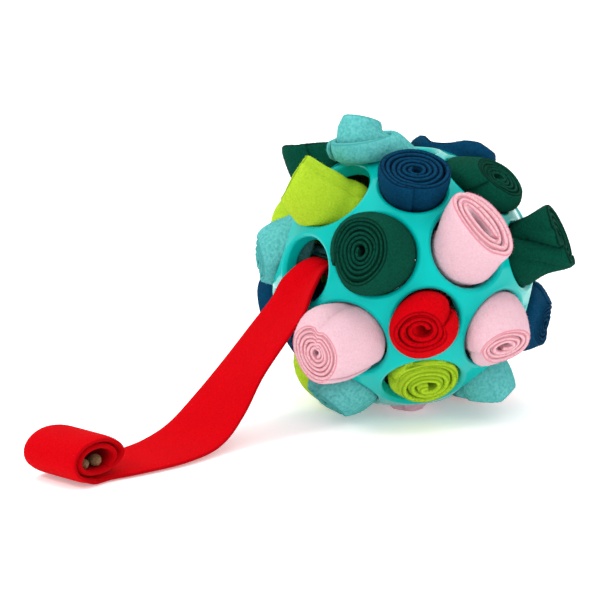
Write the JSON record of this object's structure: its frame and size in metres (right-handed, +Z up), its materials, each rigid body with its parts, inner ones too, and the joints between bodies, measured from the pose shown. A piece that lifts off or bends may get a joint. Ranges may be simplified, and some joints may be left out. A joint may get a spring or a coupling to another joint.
{
  "type": "snuffle ball dog toy",
  "caption": "Snuffle ball dog toy: a turquoise cage ball with coloured fleece strips rolled up in its holes, and one red strip pulled out with kibble in its end roll.",
  "frame": {"origin": "on the ground under the ball's centre, on the flat face of the roll that the ball rests on", "axes": "+Z up; -X from the ball towards the end of the loose red strip; Y along that strip's end roll"},
  "size_m": [0.267, 0.147, 0.1358],
  "materials": {
    "turquoise_plastic": "glossy moulded",
    "red_fleece": "brushed, matte",
    "lime_fleece": "brushed, matte",
    "pink_fleece": "brushed, matte",
    "navy_fleece": "brushed, matte",
    "green_fleece": "brushed, matte",
    "teal_fleece": "curly, matte",
    "kibble": "matte baked"
  },
  "bodies": {
    "ball": {"cage_ball": "turquoise_plastic", "strip_pink_front_lower_right_to_front_upper_right": "pink_fleece", "strip_teal_low_left_to_low_right": "teal_fleece", "strip_green_right_to_top_right": "green_fleece", "strip_navy_top_front_to_top_right": "navy_fleece", "strip_lime_upper_left_to_top_back": "lime_fleece", "strip_navy_left_low_to_back_left": "navy_fleece", "strip_navy_right_low_to_back_right": "navy_fleece", "strip_red_low_right_to_low_back": "red_fleece", "strip_teal_right_back_to_back_right": "teal_fleece", "strip_lime_back_left_to_low_back": "lime_fleece", "strip_pink_low_back_right_to_back": "pink_fleece", "strip_green_front_upper_left_to_top_left": "green_fleece", "strip_lime_front_low_to_low_back_left": "lime_fleece", "strip_pink_front_lower_left_to_base": "pink_fleece", "strip_teal_left_to_top": "teal_fleece", "red_strip_inside": "red_fleece"},
    "pulled_roll_red_front": {"roll_red_front": "red_fleece"},
    "pulled_roll_green_front_upper_left": {"roll_green_front_upper_left": "green_fleece"},
    "pulled_roll_pink_front_lower_left": {"roll_pink_front_lower_left": "pink_fleece"},
    "pulled_roll_lime_front_low": {"roll_lime_front_low": "lime_fleece"},
    "pulled_roll_pink_front_lower_right": {"roll_pink_front_lower_right": "pink_fleece"},
    "pulled_roll_pink_front_upper_right": {"roll_pink_front_upper_right": "pink_fleece"},
    "pulled_roll_teal_low_left": {"roll_teal_low_left": "teal_fleece"},
    "pulled_roll_teal_low_right": {"roll_teal_low_right": "teal_fleece"},
    "pulled_roll_green_right": {"roll_green_right": "green_fleece"},
    "pulled_roll_navy_top_front": {"roll_navy_top_front": "navy_fleece"},
    "pulled_roll_lime_upper_left": {"roll_lime_upper_left": "lime_fleece"},
    "pulled_roll_navy_left_low": {"roll_navy_left_low": "navy_fleece"},
    "pulled_roll_pink_base": {"roll_pink_base": "pink_fleece"},
    "pulled_roll_navy_right_low": {"roll_navy_right_low": "navy_fleece"},
    "pulled_roll_green_top_right": {"roll_green_top_right": "green_fleece"},
    "pulled_roll_teal_left": {"roll_teal_left": "teal_fleece"},
    "pulled_roll_lime_low_back_left": {"roll_lime_low_back_left": "lime_fleece"},
    "pulled_roll_red_low_right": {"roll_red_low_right": "red_fleece"},
    "pulled_roll_teal_right_back": {"roll_teal_right_back": "teal_fleece"},
    "pulled_roll_teal_top": {"roll_teal_top": "teal_fleece"},
    "pulled_roll_green_top_left": {"roll_green_top_left": "green_fleece"},
    "pulled_roll_navy_back_left": {"roll_navy_back_left": "navy_fleece"},
    "pulled_roll_red_low_back": {"roll_red_low_back": "red_fleece"},
    "pulled_roll_navy_back_right": {"roll_navy_back_right": "navy_fleece"},
    "pulled_roll_navy_top_right": {"roll_navy_top_right": "navy_fleece"},
    "pulled_roll_lime_back_left": {"roll_lime_back_left": "lime_fleece"},
    "pulled_roll_lime_low_back": {"roll_lime_low_back": "lime_fleece"},
    "pulled_roll_pink_low_back_right": {"roll_pink_low_back_right": "pink_fleece"},
    "pulled_roll_teal_back_right": {"roll_teal_back_right": "teal_fleece"},
    "pulled_roll_lime_top_back": {"roll_lime_top_back": "lime_fleece"},
    "pulled_roll_pink_back": {"roll_pink_back": "pink_fleece"},
    "loose_red_strip": {"red_strip_loose": "red_fleece", "red_strip_end_roll": "red_fleece", "kibble_large": "kibble", "kibble_small": "kibble"}
  },
  "joints": [
    {"name": "pull_red_front", "type": "slide", "parent": "ball", "child": "pulled_roll_red_front", "axis": [-0.6165, -0.7779, -0.1219], "range_m": [0, 0.04]},
    {"name": "pull_green_front_upper_left", "type": "slide", "parent": "ball", "child": "pulled_roll_green_front_upper_left", "axis": [-0.8184, -0.4322, 0.3786], "range_m": [0, 0.04]},
    {"name": "pull_pink_front_lower_left", "type": "slide", "parent": "ball", "child": "pulled_roll_pink_front_lower_left", "axis": [-0.9216, -0.2438, -0.3019], "range_m": [0, 0.04]},
    {"name": "pull_lime_front_low", "type": "slide", "parent": "ball", "child": "pulled_roll_lime_front_low", "axis": [-0.4282, -0.5727, -0.6991], "range_m": [0, 0.04]},
    {"name": "pull_pink_front_lower_right", "type": "slide", "parent": "ball", "child": "pulled_roll_pink_front_lower_right", "axis": [-0.0201, -0.9643, -0.2639], "range_m": [0, 0.04]},
    {"name": "pull_pink_front_upper_right", "type": "slide", "parent": "ball", "child": "pulled_roll_pink_front_upper_right", "axis": [-0.2612, -0.8775, 0.4021], "range_m": [0, 0.04]},
    {"name": "pull_teal_low_left", "type": "slide", "parent": "ball", "child": "pulled_roll_teal_low_left", "axis": [-0.6126, 0.0343, -0.7896], "range_m": [0, 0.04]},
    {"name": "pull_teal_low_right", "type": "slide", "parent": "ball", "child": "pulled_roll_teal_low_right", "axis": [0.2083, -0.6217, -0.755], "range_m": [0, 0.04]},
    {"name": "pull_green_right", "type": "slide", "parent": "ball", "child": "pulled_roll_green_right", "axis": [0.3603, -0.8993, 0.2477], "range_m": [0, 0.04]},
    {"name": "pull_navy_top_front", "type": "slide", "parent": "ball", "child": "pulled_roll_navy_top_front", "axis": [-0.3666, -0.4148, 0.8328], "range_m": [0, 0.04]},
    {"name": "pull_lime_upper_left", "type": "slide", "parent": "ball", "child": "pulled_roll_lime_upper_left", "axis": [-0.6472, 0.1548, 0.7464], "range_m": [0, 0.04]},
    {"name": "pull_navy_left_low", "type": "slide", "parent": "ball", "child": "pulled_roll_navy_left_low", "axis": [-0.8142, 0.4597, -0.3547], "range_m": [0, 0.006]},
    {"name": "pull_pink_base", "type": "slide", "parent": "ball", "child": "pulled_roll_pink_base", "axis": [-0.0158, -0.0724, -0.9973], "range_m": [0, 0.04]},
    {"name": "pull_navy_right_low", "type": "slide", "parent": "ball", "child": "pulled_roll_navy_right_low", "axis": [0.6446, -0.7061, -0.2932], "range_m": [0, 0.04]},
    {"name": "pull_green_top_right", "type": "slide", "parent": "ball", "child": "pulled_roll_green_top_right", "axis": [0.2543, -0.5657, 0.7844], "range_m": [0, 0.04]},
    {"name": "pull_teal_left", "type": "slide", "parent": "ball", "child": "pulled_roll_teal_left", "axis": [-0.6446, 0.7061, 0.2932], "range_m": [0, 0.04]},
    {"name": "pull_lime_low_back_left", "type": "slide", "parent": "ball", "child": "pulled_roll_lime_low_back_left", "axis": [-0.2543, 0.5657, -0.7844], "range_m": [0, 0.04]},
    {"name": "pull_red_low_right", "type": "slide", "parent": "ball", "child": "pulled_roll_red_low_right", "axis": [0.6472, -0.1548, -0.7464], "range_m": [0, 0.04]},
    {"name": "pull_teal_right_back", "type": "slide", "parent": "ball", "child": "pulled_roll_teal_right_back", "axis": [0.8142, -0.4597, 0.3547], "range_m": [0, 0.04]},
    {"name": "pull_teal_top", "type": "slide", "parent": "ball", "child": "pulled_roll_teal_top", "axis": [0.0158, 0.0724, 0.9973], "range_m": [0, 0.04]},
    {"name": "pull_green_top_left", "type": "slide", "parent": "ball", "child": "pulled_roll_green_top_left", "axis": [-0.2083, 0.6217, 0.755], "range_m": [0, 0.04]},
    {"name": "pull_navy_back_left", "type": "slide", "parent": "ball", "child": "pulled_roll_navy_back_left", "axis": [-0.3603, 0.8993, -0.2477], "range_m": [0, 0.04]},
    {"name": "pull_red_low_back", "type": "slide", "parent": "ball", "child": "pulled_roll_red_low_back", "axis": [0.3666, 0.4148, -0.8328], "range_m": [0, 0.04]},
    {"name": "pull_navy_back_right", "type": "slide", "parent": "ball", "child": "pulled_roll_navy_back_right", "axis": [0.968, -0.1622, -0.1917], "range_m": [0, 0.04]},
    {"name": "pull_navy_top_right", "type": "slide", "parent": "ball", "child": "pulled_roll_navy_top_right", "axis": [0.6126, -0.0343, 0.7896], "range_m": [0, 0.04]},
    {"name": "pull_lime_back_left", "type": "slide", "parent": "ball", "child": "pulled_roll_lime_back_left", "axis": [0.0201, 0.9643, 0.2639], "range_m": [0, 0.04]},
    {"name": "pull_lime_low_back", "type": "slide", "parent": "ball", "child": "pulled_roll_lime_low_back", "axis": [0.2612, 0.8775, -0.4021], "range_m": [0, 0.04]},
    {"name": "pull_pink_low_back_right", "type": "slide", "parent": "ball", "child": "pulled_roll_pink_low_back_right", "axis": [0.8184, 0.4322, -0.3786], "range_m": [0, 0.04]},
    {"name": "pull_teal_back_right", "type": "slide", "parent": "ball", "child": "pulled_roll_teal_back_right", "axis": [0.9216, 0.2438, 0.3019], "range_m": [0, 0.04]},
    {"name": "pull_lime_top_back", "type": "slide", "parent": "ball", "child": "pulled_roll_lime_top_back", "axis": [0.4282, 0.5727, 0.6991], "range_m": [0, 0.04]},
    {"name": "pull_pink_back", "type": "slide", "parent": "ball", "child": "pulled_roll_pink_back", "axis": [0.6165, 0.7779, 0.1219], "range_m": [0, 0.04]},
    {"name": "lift_red_strip", "type": "hinge", "parent": "ball", "child": "loose_red_strip", "pos_m": [-0.06147, 0.0112, 0.06682], "axis": [0.1653, 0.9862, 0], "range_deg": [0, 50]}
  ]
}
